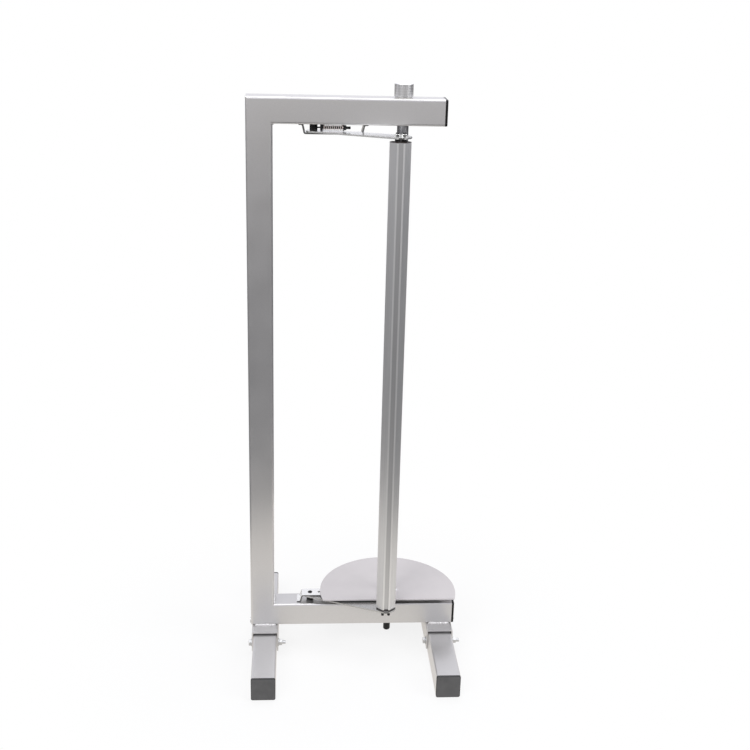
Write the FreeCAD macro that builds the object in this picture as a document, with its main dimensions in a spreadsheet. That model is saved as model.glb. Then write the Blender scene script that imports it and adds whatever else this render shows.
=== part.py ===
import FreeCAD, Part
import Sketcher
import math
import os

# A floor stand for one upright roll of packing film. A welded C-frame of square tube
# stands on two clamped foot tubes. The roll sits on a D-shaped plate round a lift-out
# spindle, and a sprung press bar on two levers leans on the film.

doc = FreeCAD.newDocument("film_roll_stand")
sheet = doc.addObject("Spreadsheet::Sheet", "Dims")

# Driving dimensions in millimetres. Lengths along X start at the post's outer face,
# heights start at the floor, and Y is zero in the middle plane of the frame.
DIMENSIONS = {
    # square tube and the C-frame
    "tube_side": 50.0,
    "tube_wall": 2.0,
    "tube_corner": 4.0,
    "frame_base": 56.5,
    "frame_height": 1127.2,
    "upper_reach": 375.5,
    "lower_reach": 438.0,
    # end caps of the arms and feet
    "cap_flange": 5.0,
    "cap_round": 1.5,
    "cap_plug": 18.0,
    "cap_slack": 0.2,
    # feet and the sleeves that clamp them
    "foot_length": 430.0,
    "foot_gap": 3.5,
    "left_foot_x": 31.0,
    "right_foot_x": 410.0,
    "sleeve_width": 57.0,
    "sleeve_wall": 3.0,
    "sleeve_length": 110.0,
    "sleeve_drop": 46.0,
    "sleeve_bend": 4.0,
    "bolt_height": 26.5,
    "bolt_pitch": 92.0,
    # M8 foot bolts
    "bolt_radius": 4.0,
    "bolt_hole": 4.2,
    "bolt_across": 13.0,
    "bolt_head": 5.3,
    "bolt_end": 7.5,
    "washer_radius": 8.0,
    "washer_thick": 1.6,
    "nut_height": 6.5,
    "nut_bore": 4.05,
    "hex_face_share": 0.95,
    # roll plate and its collar
    "roll_x": 298.0,
    "plate_radius": 148.0,
    "plate_thick": 3.0,
    "plate_chord": 41.0,
    "plate_bore": 12.0,
    "collar_height": 17.0,
    "collar_radius": 22.0,
    "screw_circle": 16.5,
    "screw_radius": 2.4,
    "screw_hole": 2.6,
    "screw_head": 4.8,
    "screw_length": 12.0,
    # spindle, knob and bushes
    "spindle_radius": 11.0,
    "running_bore": 11.05,
    "bush_radius": 14.0,
    "bush_hole": 14.1,
    "bush_flange": 16.0,
    "flange_thick": 1.0,
    "rest_gap": 0.3,
    "spindle_hole": 11.4,
    "tip_radius": 7.5,
    "tip_hole": 8.1,
    "tip_drop": 28.0,
    "tip_round": 4.0,
    "spigot_radius": 3.9,
    "spigot_hole": 4.0,
    "spigot_length": 11.0,
    "knob_radius": 18.0,
    "knob_height": 26.0,
    "knob_round": 2.0,
    "knob_depth": 18.0,
    "set_screw_radius": 3.0,
    "set_screw_hole": 3.1,
    "set_screw_length": 6.0,
    "set_screw_gap": 0.1,
    # hinge straps and pivots
    "pivot_x": 128.0,
    "strap_start": 112.0,
    "strap_finish": 219.0,
    "strap_splay": 4.0,
    "strap_flange": 9.0,
    "strap_bend": 2.0,
    "strap_thick": 2.5,
    "strap_width": 28.0,
    "upper_strap_drop": 19.5,
    "lower_strap_rise": 16.5,
    "spare_hole_x": 148.0,
    "spare_hole": 3.5,
    "pivot_head": 4.8,
    "pivot_head_height": 1.2,
    "pivot_head_round": 0.8,
    "pivot_socket": 4.0,
    "socket_depth": 0.8,
    "pivot_bush": 6.0,
    "pivot_bore": 6.05,
    "hub_radius": 7.5,
    "hub_gap": 0.4,
    "hub_round": 1.0,
    # levers and press bar
    "bar_x": 289.0,
    "bar_y": 68.0,
    "bar_half": 20.25,
    "bar_nose": 12.0,
    "bar_nose_half": 7.6,
    "bar_back": 11.0,
    "bar_back_half": 15.0,
    "bar_shoulder": 5.0,
    "slot_half": 4.2,
    "slot_depth": 3.0,
    "bar_wall": 2.2,
    "core_half": 10.6,
    "tongue_half": 10.4,
    "tongue_length": 2.0,
    "pad_setback": 5.5,
    "lever_thick": 3.0,
    "lever_gap": 0.3,
    "lever_heel": 14.5,
    "lever_pad": 21.5,
    # M6 threads of the pivots, and of the studs that hold the bar between the levers
    "stud_pitch": 13.0,
    "stud_radius": 3.0,
    "stud_hole": 3.15,
    "stud_depth": 25.0,
    "stud_upper_end": 2.5,
    "stud_lower_end": 8.0,
    "stud_nut_across": 10.0,
    "stud_nut_height": 5.0,
    "stud_nut_bore": 3.05,
    "spacer_radius": 4.4,
    "spacer_height": 4.5,
    # tension rod and spring under the upper arm
    "rod_y": 9.3,
    "rod_drop": 6.9,
    "rod_radius": 2.5,
    "rod_start": 144.0,
    "rod_finish": 198.0,
    "wire_radius": 1.5,
    "tab_start": 140.5,
    "tab_thick": 5.0,
    "tab_width": 18.0,
    "tab_height": 12.2,
    "tab_hole": 2.8,
    "spring_finish": 184.0,
    "spring_mean": 5.4,
    "spring_wire": 1.3,
    "spring_turns": 11.0,
    "spring_bend": 2.0,
    "spring_gap": 0.1,
    "rod_washer_radius": 6.2,
    "rod_washer_thick": 2.0,
    "rod_washer_bore": 2.6,
    "rod_nut_across": 8.0,
    "rod_nut_height": 4.0,
    "rod_nut_bore": 2.55,
}
for row, (alias, number) in enumerate(DIMENSIONS.items(), start=1):
    sheet.set(f"A{row}", alias)
    sheet.set(f"B{row}", str(number))
    sheet.setAlias(f"B{row}", alias)
doc.recompute()


class Size:
    """A length that carries its value and the formula that gives it from the sheet."""

    def __init__(self, value, text):
        self.value = float(value)
        self.text = text

    def __add__(self, other):
        other = as_size(other)
        return Size(self.value + other.value, f"({self.text} + {other.text})")

    def __sub__(self, other):
        other = as_size(other)
        return Size(self.value - other.value, f"({self.text} - {other.text})")

    def __mul__(self, other):
        other = as_size(other)
        return Size(self.value * other.value, f"({self.text} * {other.text})")

    def __truediv__(self, other):
        other = as_size(other)
        return Size(self.value / other.value, f"({self.text} / {other.text})")

    def __neg__(self):
        return Size(-self.value, f"(0 - {self.text})")

    def root(self):
        return Size(math.sqrt(self.value), f"sqrt({self.text})")


def as_size(number):
    if isinstance(number, Size):
        return number
    return Size(number, str(float(number)))


def dim(alias):
    return Size(sheet.get(alias), f"Dims.{alias}")


ZERO = as_size(0)
NEAR = 0.01
ALIGNED = 0.999
ROOT_3 = math.sqrt(3)
SIDE = dim("tube_side")
HALF = SIDE / 2
X_AXIS = FreeCAD.Vector(1, 0, 0)
Y_AXIS = FreeCAD.Vector(0, 1, 0)
Z_AXIS = FreeCAD.Vector(0, 0, 1)
ALONG_X = FreeCAD.Rotation(Y_AXIS, 90)
ALONG_Y = FreeCAD.Rotation(X_AXIS, -90)
UPRIGHT = FreeCAD.Rotation()
UPSIDE_DOWN = FreeCAD.Rotation(X_AXIS, 180)

# The origin lies under the middle of the stand, so every X is moved by this amount.
FOOT_SPAN = dim("left_foot_x") + dim("right_foot_x")
SHIFT = -((FOOT_SPAN + dim("nut_height") + dim("bolt_end") - dim("bolt_head")) / 2)
BASE = dim("frame_base")
TOP = BASE + dim("frame_height")
UNDER_TOP_ARM = TOP - SIDE
OVER_LOW_ARM = BASE + SIDE
PIVOT_X = SHIFT + dim("pivot_x")
ROLL_X = SHIFT + dim("roll_x")
BAR_X = SHIFT + dim("bar_x")
BAR_Y = -dim("bar_y")
PLATE_UNDER = OVER_LOW_ARM + dim("collar_height")
FOOT_TOP = BASE - dim("sleeve_wall") - dim("foot_gap")

nodes = []


def node(piece, label):
    """Name a finished sub-part."""
    piece.Label = label
    nodes.append(piece)
    return piece


def bind(piece, **sizes):
    for name, size in sizes.items():
        piece.setExpression(name, as_size(size).text)
    return piece


def put(piece, x=ZERO, y=ZERO, z=ZERO, turn=UPRIGHT):
    piece.Placement = FreeCAD.Placement(FreeCAD.Vector(), turn)
    for axis, size in zip("xyz", (x, y, z)):
        piece.setExpression(f"Placement.Base.{axis}", as_size(size).text)
    return piece


def box(name, length, width, height, **place):
    piece = doc.addObject("Part::Box", name)
    bind(piece, Length=length, Width=width, Height=height)
    return put(piece, **place)


def round_bar(name, radius, height, **place):
    piece = doc.addObject("Part::Cylinder", name)
    bind(piece, Radius=radius, Height=height)
    return put(piece, **place)


def hex_bar(name, across, height, **place):
    piece = doc.addObject("Part::Prism", name)
    piece.Polygon = 6
    bind(piece, Circumradius=across / ROOT_3, Height=height)
    return put(piece, **place)


def hex_block(name, across, height, **place):
    """A hexagonal block whose corners are chamfered at 30 degrees at both ends."""
    blank = hex_bar(f"{name}_blank", across, height)
    face = across * dim("hex_face_share") / 2
    wide = face + height * ROOT_3
    cones = []
    for end, low, high in (("low", face, wide), ("high", wide, face)):
        cone = doc.addObject("Part::Cone", f"{name}_{end}_chamfer")
        cones.append(bind(cone, Radius1=low, Radius2=high, Height=height))
    piece = doc.addObject("Part::MultiCommon", name)
    piece.Shapes = [blank, *cones]
    return put(piece, **place)


def fuse(name, *pieces):
    piece = doc.addObject("Part::MultiFuse", name)
    piece.Shapes = list(pieces)
    piece.Refine = True
    return piece


def cut(name, base, *tools):
    piece = doc.addObject("Part::Cut", name)
    piece.Base = base
    piece.Tool = tools[0] if len(tools) == 1 else fuse(f"{name}_tools", *tools)
    return piece


def group(name, pieces):
    """Keep like fasteners together as separate solids."""
    piece = doc.addObject("Part::Compound", name)
    piece.Links = list(pieces)
    return piece


def rounded(name, base, radius, wanted):
    """Round the edges of base that wanted(edge) picks."""
    doc.recompute()
    piece = doc.addObject("Part::Fillet", name)
    piece.Base = base
    edges = base.Shape.Edges
    piece.Edges = [(i + 1, radius.value, radius.value) for i, edge in enumerate(edges) if wanted(edge)]
    return piece


def runs_along(axis):
    """Pick straight edges that lie along one axis."""
    def wanted(edge):
        if not isinstance(edge.Curve, Part.Line):
            return False
        return abs(edge.Curve.Direction.dot(axis)) > ALIGNED
    return wanted


def level_circle(height):
    """Pick round edges that lie at one height."""
    def wanted(edge):
        return isinstance(edge.Curve, Part.Circle) and abs(edge.Curve.Center.z - height.value) < NEAR
    return wanted


def crosses_at(height):
    """Pick straight edges along Y that lie at one height."""
    crosswise = runs_along(Y_AXIS)

    def wanted(edge):
        return crosswise(edge) and abs(edge.BoundBox.Center.z - height.value) < NEAR
    return wanted


def rim(radius):
    """Pick round edges of one radius."""
    def wanted(edge):
        return isinstance(edge.Curve, Part.Circle) and abs(edge.Curve.Radius - radius.value) < NEAR
    return wanted


def draw_loop(sketch, points):
    """Draw one closed outline whose corners are held by dimensions from the origin."""
    corners = [FreeCAD.Vector(x.value, y.value, 0) for x, y in points]
    first = sketch.GeometryCount
    count = len(corners)
    for i in range(count):
        sketch.addGeometry(Part.LineSegment(corners[i], corners[(i + 1) % count]))
    for i in range(count):
        joint = Sketcher.Constraint("Coincident", first + i, 2, first + (i + 1) % count, 1)
        sketch.addConstraint(joint)
    for i, (x, y) in enumerate(points):
        for kind, size in (("DistanceX", x), ("DistanceY", y)):
            held = Sketcher.Constraint(kind, -1, 1, first + i, 1, size.value)
            place = sketch.addConstraint(held)
            sketch.setExpression(f"Constraints[{place}]", size.text)


def profile(name, plane, loops, depth, **place):
    """Pad a sketch with straight-sided outlines; inner outlines are hollows."""
    body = doc.addObject("PartDesign::Body", name)
    sketch = body.newObject("Sketcher::SketchObject", f"{name}_sketch")
    flat = next(item for item in body.Origin.OriginFeatures if item.Role == plane)
    sketch.AttachmentSupport = [(flat, "")]
    sketch.MapMode = "FlatFace"
    for points in loops:
        draw_loop(sketch, [(as_size(x), as_size(y)) for x, y in points])
    pad = body.newObject("PartDesign::Pad", f"{name}_pad")
    pad.Profile = sketch
    bind(pad, Length=depth)
    body.Tip = pad
    return put(body, **place)


# Square tubes of the C-frame, mitred at the post's two corners.
def frame_tube(name, outline, hollow, holes):
    prism = profile(f"{name}_prism", "XZ_Plane", [outline], SIDE, x=SHIFT, y=HALF)
    axis = Z_AXIS if name == "post_tube" else X_AXIS
    soft = rounded(f"{name}_corners", prism, dim("tube_corner"), runs_along(axis))
    node(cut(name, soft, hollow, *holes), name)


def hollow_for(name, length, **place):
    inner = SIDE - dim("tube_wall") * 2
    upright = name == "post_tube"
    sizes = (inner, inner, length) if upright else (length, inner, inner)
    return box(f"{name}_hollow", *sizes, **place)


def frame_tubes():
    wall = dim("tube_wall")
    inside = -(HALF - wall)
    post = [(ZERO, BASE), (SIDE, OVER_LOW_ARM), (SIDE, UNDER_TOP_ARM), (ZERO, TOP)]
    post_hollow = hollow_for("post_tube", dim("frame_height"), x=SHIFT + wall, y=inside, z=BASE)
    frame_tube("post_tube", post, post_hollow, [])

    reach = dim("upper_reach")
    upper = [(ZERO, TOP), (SIDE, UNDER_TOP_ARM), (reach, UNDER_TOP_ARM), (reach, TOP)]
    upper_hollow = hollow_for("upper_arm_tube", reach, x=SHIFT, y=inside, z=UNDER_TOP_ARM + wall)
    spindle = round_bar("upper_spindle_hole", dim("bush_hole"), SIDE, x=ROLL_X, z=UNDER_TOP_ARM)
    pivot = round_bar("upper_pivot_hole", dim("stud_hole"), HALF, x=PIVOT_X, z=UNDER_TOP_ARM)
    frame_tube("upper_arm_tube", upper, upper_hollow, [spindle, pivot])

    reach = dim("lower_reach")
    lower = [(ZERO, BASE), (reach, BASE), (reach, OVER_LOW_ARM), (SIDE, OVER_LOW_ARM)]
    lower_hollow = hollow_for("lower_arm_tube", reach, x=SHIFT, y=inside, z=BASE + wall)
    spindle = round_bar("lower_spindle_hole", dim("spindle_hole"), HALF, x=ROLL_X, z=BASE + HALF)
    tip = round_bar("lower_tip_hole", dim("tip_hole"), HALF, x=ROLL_X, z=BASE)
    pivot = round_bar("lower_pivot_hole", dim("stud_hole"), HALF, x=PIVOT_X, z=BASE + HALF)
    frame_tube("lower_arm_tube", lower, lower_hollow, [spindle, tip, pivot])


# Moulded end caps: a flange over the tube's end and a hollow plug inside it.
def end_cap(name, turn, x, y, z):
    flange_depth = dim("cap_flange")
    plug_side = SIDE - dim("tube_wall") * 2 - dim("cap_slack") * 2
    recess_side = plug_side - dim("tube_wall") * 2
    depth = dim("cap_plug")
    flange = box(f"{name}_flange", SIDE, SIDE, flange_depth, x=-HALF, y=-HALF)
    soft = rounded(f"{name}_flange_corners", flange, dim("tube_corner"), runs_along(Z_AXIS))
    plug = box(f"{name}_plug", plug_side, plug_side, depth, x=-(plug_side / 2), y=-(plug_side / 2), z=-depth)
    recess = box(
        f"{name}_recess", recess_side, recess_side, depth,
        x=-(recess_side / 2), y=-(recess_side / 2), z=-depth,
    )

    def outer_rim(edge):
        return abs(edge.BoundBox.ZMin - flange_depth.value) < NEAR

    eased = rounded(f"{name}_flange_rim", soft, dim("cap_round"), outer_rim)
    cap = cut(name, fuse(f"{name}_outer", eased, plug), recess)
    node(put(cap, x, y, z, turn), name)


def end_caps():
    middle = BASE + HALF
    end_cap("upper_arm_cap", ALONG_X, SHIFT + dim("upper_reach"), ZERO, TOP - HALF)
    end_cap("lower_arm_cap", ALONG_X, SHIFT + dim("lower_reach"), ZERO, middle)
    reach = dim("foot_length") / 2
    height = FOOT_TOP - HALF
    turn_front = FreeCAD.Rotation(X_AXIS, 90)
    for side in ("left", "right"):
        x = SHIFT + dim(f"{side}_foot_x")
        end_cap(f"{side}_foot_front_cap", turn_front, x, -reach, height)
        end_cap(f"{side}_foot_rear_cap", ALONG_Y, x, reach, height)


# Feet: a square tube clamped by two cross bolts in an inverted U-sleeve.
def bolt_places():
    return (-(dim("bolt_pitch") / 2), dim("bolt_pitch") / 2)


def cross_holes(name, x):
    start = x - dim("sleeve_width")
    length = dim("sleeve_width") * 2
    return [
        round_bar(f"{name}_{i}", dim("bolt_hole"), length, x=start, y=y, z=dim("bolt_height"), turn=ALONG_X)
        for i, y in enumerate(bolt_places())
    ]


def foot(side):
    x = SHIFT + dim(f"{side}_foot_x")
    length = dim("foot_length")
    wall = dim("tube_wall")
    inner = SIDE - wall * 2
    low = FOOT_TOP - SIDE
    outer = box(f"{side}_foot_outer", SIDE, length, SIDE, x=x - HALF, y=-(length / 2), z=low)
    soft = rounded(f"{side}_foot_corners", outer, dim("tube_corner"), runs_along(Y_AXIS))
    hollow = box(
        f"{side}_foot_hollow", inner, length, inner,
        x=x - inner / 2, y=-(length / 2), z=low + wall,
    )
    node(cut(f"{side}_foot_tube", soft, hollow, *cross_holes(f"{side}_foot_hole", x)), f"{side}_foot_tube")

    outer_half = dim("sleeve_width") / 2
    inner_half = outer_half - dim("sleeve_wall")
    hem = BASE - dim("sleeve_drop")
    ceiling = BASE - dim("sleeve_wall")
    channel = [
        (-outer_half, hem), (-outer_half, BASE), (outer_half, BASE), (outer_half, hem),
        (inner_half, hem), (inner_half, ceiling), (-inner_half, ceiling), (-inner_half, hem),
    ]
    name = f"{side}_foot_sleeve"
    deep = dim("sleeve_length")
    folded = profile(f"{name}_channel", "XZ_Plane", [channel], deep, x=x, y=deep / 2)

    def outer_bend(edge):
        return runs_along(Y_AXIS)(edge) and abs(edge.CenterOfMass.z - BASE.value) < NEAR

    soft = rounded(f"{name}_bends", folded, dim("sleeve_bend"), outer_bend)
    node(cut(name, soft, *cross_holes(f"{name}_hole", x)), name)


def ring(name, radius, bore, thick, **place):
    disc = round_bar(f"{name}_disc", radius, thick)
    hole = round_bar(f"{name}_bore", bore, thick)
    return put(cut(name, disc, hole), **place)


def nut(name, across, bore, thick, **place):
    block = hex_block(f"{name}_block", across, thick)
    hole = round_bar(f"{name}_bore", bore, thick)
    return put(cut(name, block, hole), **place)


def foot_fasteners():
    bolts = []
    washers = []
    nuts = []
    thick = dim("washer_thick")
    z = dim("bolt_height")
    for side in ("left", "right"):
        start = SHIFT + dim(f"{side}_foot_x") - dim("sleeve_width") / 2
        finish = start + dim("sleeve_width")
        for i, y in enumerate(bolt_places()):
            tag = f"{side}_{i}"
            at_head = start - thick - dim("bolt_head")
            at_shank = start - thick
            length = dim("sleeve_width") + thick * 2 + dim("nut_height") + dim("bolt_end")
            head = hex_block(
                f"bolt_head_{tag}", dim("bolt_across"), dim("bolt_head"), x=at_head, y=y, z=z, turn=ALONG_X
            )
            shank = round_bar(
                f"bolt_shank_{tag}", dim("bolt_radius"), length, x=at_shank, y=y, z=z, turn=ALONG_X
            )
            bolts.append(fuse(f"bolt_{tag}", head, shank))
            for end, x in (("head", at_shank), ("nut", finish)):
                washers.append(ring(
                    f"washer_{tag}_{end}", dim("washer_radius"), dim("bolt_hole"), thick,
                    x=x, y=y, z=z, turn=ALONG_X,
                ))
            nuts.append(nut(
                f"nut_{tag}", dim("bolt_across"), dim("nut_bore"), dim("nut_height"),
                x=finish + thick, y=y, z=z, turn=ALONG_X,
            ))
    node(group("foot_bolts", bolts), "foot_bolts")
    node(group("foot_washers", washers), "foot_washers")
    node(group("foot_nuts", nuts), "foot_nuts")


# Roll plate: a disc with a straight front edge, screwed to a collar on the lower arm.
def screw_places():
    reach = dim("screw_circle")
    return [(ROLL_X + reach, ZERO), (ROLL_X, reach), (ROLL_X - reach, ZERO), (ROLL_X, -reach)]


def countersink(name, small, large, thick, x, y):
    cone = doc.addObject("Part::Cone", name)
    bind(cone, Radius1=small, Radius2=large, Height=thick)
    return put(cone, x=x, y=y, z=PLATE_UNDER)


def roll_plate():
    thick = dim("plate_thick")
    radius = dim("plate_radius")
    slack = dim("screw_hole") - dim("screw_radius")
    disc = round_bar("plate_disc", radius, thick, x=ROLL_X, z=PLATE_UNDER)
    front = box(
        "plate_front", radius * 2, radius, thick,
        x=ROLL_X - radius, y=-(dim("plate_chord") + radius), z=PLATE_UNDER,
    )
    bore = round_bar("plate_centre", dim("plate_bore"), thick, x=ROLL_X, z=PLATE_UNDER)
    depth = dim("screw_length")
    seats = []
    threads = []
    screws = []
    for i, (x, y) in enumerate(screw_places()):
        wide = dim("screw_head") + slack
        seats.append(countersink(f"plate_seat_{i}", dim("screw_hole"), wide, thick, x, y))
        level = PLATE_UNDER - depth
        threads.append(round_bar(f"collar_thread_{i}", dim("screw_hole"), depth, x=x, y=y, z=level))
        head = countersink(f"plate_head_{i}", dim("screw_radius"), dim("screw_head"), thick, x, y)
        shank = round_bar(f"plate_shank_{i}", dim("screw_radius"), depth, x=x, y=y, z=level)
        screws.append(fuse(f"plate_screw_{i}", head, shank))
    node(cut("roll_plate", disc, front, bore, *seats), "roll_plate")
    block = round_bar("collar_block", dim("collar_radius"), dim("collar_height"), x=ROLL_X, z=OVER_LOW_ARM)
    through = round_bar("collar_bore", dim("running_bore"), dim("collar_height"), x=ROLL_X, z=OVER_LOW_ARM)
    node(cut("plate_collar", block, through, *threads), "plate_collar")
    node(group("plate_screws", screws), "plate_screws")


# Spindle: a steel rod that drops through the upper arm, the roll, the plate and the lower arm.
def spindle():
    gap = dim("rest_gap")
    foot_level = BASE + dim("tube_wall") + gap
    seat = TOP + dim("flange_thick") + gap
    rod_top = seat + dim("knob_depth")

    barrel = round_bar("bush_barrel", dim("bush_radius"), SIDE, x=ROLL_X, z=UNDER_TOP_ARM)
    flange = round_bar("bush_flange_disc", dim("bush_flange"), dim("flange_thick"), x=ROLL_X, z=TOP)
    bore = round_bar("bush_bore", dim("running_bore"), SIDE * 2, x=ROLL_X, z=UNDER_TOP_ARM)
    node(cut("spindle_bush", fuse("bush_outer", barrel, flange), bore), "spindle_bush")

    shaft = round_bar("spindle_shaft", dim("spindle_radius"), rod_top - foot_level, x=ROLL_X, z=foot_level)
    socket_length = dim("spigot_length") + gap
    socket = round_bar("spindle_socket", dim("spigot_hole"), socket_length, x=ROLL_X, z=foot_level)
    node(cut("spindle_rod", shaft, socket), "spindle_rod")

    tip_level = BASE - dim("tip_drop")
    tip = round_bar("tip_body", dim("tip_radius"), foot_level - tip_level, x=ROLL_X, z=tip_level)
    soft_tip = rounded("tip_soft", tip, dim("tip_round"), level_circle(tip_level))
    spigot = round_bar("tip_spigot", dim("spigot_radius"), dim("spigot_length"), x=ROLL_X, z=foot_level)
    node(fuse("spindle_tip", soft_tip, spigot), "spindle_tip")

    knob = round_bar("knob_body", dim("knob_radius"), dim("knob_height"), x=ROLL_X, z=seat)
    soft_knob = rounded("knob_soft", knob, dim("knob_round"), rim(dim("knob_radius")))
    pocket = round_bar("knob_pocket", dim("running_bore"), dim("knob_depth"), x=ROLL_X, z=seat)
    screw_level = seat + dim("knob_depth") / 2
    tapped = round_bar(
        "knob_tapping", dim("set_screw_hole"), dim("knob_radius"), x=ROLL_X, z=screw_level, turn=ALONG_Y
    )
    node(cut("spindle_knob", soft_knob, pocket, tapped), "spindle_knob")
    start = dim("running_bore") + dim("set_screw_gap")
    screw = round_bar(
        "knob_set_screw", dim("set_screw_radius"), dim("set_screw_length"),
        x=ROLL_X, y=start, z=screw_level, turn=ALONG_Y,
    )
    node(screw, "knob_set_screw")


# Hinge straps: strips bent to a hat with two flanges, which carry the outer end of each
# pivot bolt.
def strap_outline(arm_face, run_face, inward):
    """The hat's outline; inward is the strip's thickness, signed towards the arm."""
    left = dim("strap_start")
    right = dim("strap_finish")
    thick = dim("strap_thick")
    left_knee = left - dim("strap_splay")
    right_knee = right + dim("strap_splay")
    flange = dim("strap_flange")
    flange_face = arm_face - inward
    return [
        (left_knee - flange, arm_face), (left_knee - flange, flange_face),
        (left_knee - thick, flange_face), (left - thick, run_face), (right + thick, run_face),
        (right_knee + thick, flange_face), (right_knee + flange, flange_face),
        (right_knee + flange, arm_face), (right_knee, arm_face), (right, run_face + inward),
        (left, run_face + inward), (left_knee, arm_face),
    ]


def hinge_strap(name, arm_face, run_face, inward):
    width = dim("strap_width")
    hat = profile(
        f"{name}_hat", "XZ_Plane", [strap_outline(arm_face, run_face, inward)], width, x=SHIFT, y=width / 2
    )
    bend = dim("strap_bend")
    bent = rounded(f"{name}_inner_bends", hat, bend, crosses_at(run_face + inward))
    bent = rounded(f"{name}_flange_bends", bent, bend, crosses_at(arm_face - inward))
    bent = rounded(f"{name}_outer_bends", bent, bend + dim("strap_thick"), crosses_at(run_face))
    low = run_face if inward.value > 0 else run_face + inward
    hole = round_bar(f"{name}_pivot_hole", dim("stud_hole"), dim("strap_thick"), x=PIVOT_X, z=low)
    spare = round_bar(
        f"{name}_spare_hole", dim("spare_hole"), dim("strap_thick"), x=SHIFT + dim("spare_hole_x"), z=low
    )
    node(cut(name, bent, hole, spare), name)


def pivot(name, head_face, arm_face, direction):
    """A button-head bolt through strap, bush and arm wall; direction is 1 for pointing up."""
    turn = UPRIGHT if direction > 0 else UPSIDE_DOWN
    bush_start = head_face + dim("strap_thick") * direction
    bush_length = (arm_face - bush_start) * direction
    nut_height = dim("stud_nut_height")
    shank_length = bush_length + dim("strap_thick") + dim("tube_wall") + nut_height + dim("stud_upper_end")
    head_height = dim("pivot_head_height")
    disc = round_bar(f"{name}_disc", dim("pivot_head"), head_height, z=-head_height)
    head = rounded(f"{name}_head", disc, dim("pivot_head_round"), level_circle(-head_height))
    shank = round_bar(f"{name}_shank", dim("stud_radius"), shank_length)
    socket = hex_bar(f"{name}_socket", dim("pivot_socket"), dim("socket_depth"), z=-head_height)
    bolt = cut(f"{name}_bolt", fuse(f"{name}_blank", head, shank), socket)
    node(put(bolt, x=PIVOT_X, z=head_face, turn=turn), f"{name}_bolt")
    bush = ring(
        f"{name}_bush", dim("pivot_bush"), dim("stud_hole"), bush_length, x=PIVOT_X, z=bush_start, turn=turn
    )
    node(bush, f"{name}_bush")
    nut_start = arm_face + dim("tube_wall") * direction
    return nut(
        f"{name}_nut", dim("stud_nut_across"), dim("stud_nut_bore"), nut_height,
        x=PIVOT_X, z=nut_start, turn=turn,
    )


UPPER_RUN = UNDER_TOP_ARM - dim("upper_strap_drop")
LOWER_RUN = OVER_LOW_ARM + dim("lower_strap_rise")
UPPER_LEVER = UPPER_RUN + dim("strap_thick") + dim("lever_gap")
LOWER_LEVER = LOWER_RUN - dim("strap_thick") - dim("lever_gap") - dim("lever_thick")
UPPER_LEVER_TOP = UPPER_LEVER + dim("lever_thick")
LOWER_LEVER_TOP = LOWER_LEVER + dim("lever_thick")
BAR_TOP = UPPER_LEVER - dim("spacer_height")


def hinges():
    thick = dim("strap_thick")
    hinge_strap("upper_hinge_strap", UNDER_TOP_ARM, UPPER_RUN, thick)
    hinge_strap("lower_hinge_strap", OVER_LOW_ARM, LOWER_RUN, -thick)
    upper_nut = pivot("upper_pivot", UPPER_RUN, UNDER_TOP_ARM, 1)
    lower_nut = pivot("lower_pivot", LOWER_RUN, OVER_LOW_ARM, -1)
    node(group("pivot_nuts", [upper_nut, lower_nut]), "pivot_nuts")
    gap = dim("hub_gap")
    spans = {
        "upper_lever_hub": (UPPER_LEVER_TOP, UNDER_TOP_ARM - gap),
        "lower_lever_hub": (OVER_LOW_ARM + gap, LOWER_LEVER),
    }
    for name, (low, high) in spans.items():
        blank = ring(f"{name}_blank", dim("hub_radius"), dim("pivot_bore"), high - low)
        soft = rounded(name, blank, dim("hub_round"), rim(dim("hub_radius")))
        node(put(soft, x=PIVOT_X, z=low), name)


# Levers: flat plates that widen from the pivot to a round pad under the press bar.
def lever(name, level):
    reach_x = dim("bar_x") - dim("pivot_x")
    reach_y = dim("bar_y") - dim("pad_setback")
    reach = (reach_x * reach_x + reach_y * reach_y).root()
    slope = math.degrees(math.atan2(-reach_y.value, reach_x.value))
    heel = dim("lever_heel")
    pad = dim("lever_pad")
    thick = dim("lever_thick")
    lean = (heel - pad) / reach
    rise = (as_size(1) - lean * lean).root()
    flanks = [
        (heel * lean, -(heel * rise)), (reach + pad * lean, -(pad * rise)),
        (reach + pad * lean, pad * rise), (heel * lean, heel * rise),
    ]
    blade = profile(f"{name}_blade", "XY_Plane", [flanks], thick)
    heel_disc = round_bar(f"{name}_heel", heel, thick)
    pad_disc = round_bar(f"{name}_pad", pad, thick, x=reach)
    plate = fuse(f"{name}_plate", blade, heel_disc, pad_disc)
    put(plate, PIVOT_X, ZERO, level, FreeCAD.Rotation(Z_AXIS, slope))
    pivot_hole = round_bar(f"{name}_pivot_hole", dim("pivot_bore"), thick, x=PIVOT_X, z=level)
    stud_holes = [
        round_bar(f"{name}_stud_hole_{i}", dim("stud_hole"), thick, x=x, y=BAR_Y, z=level)
        for i, x in enumerate(stud_places())
    ]
    node(cut(name, plate, pivot_hole, *stud_holes), name)


def stud_places():
    return (BAR_X - dim("stud_pitch") / 2, BAR_X + dim("stud_pitch") / 2)


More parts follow.
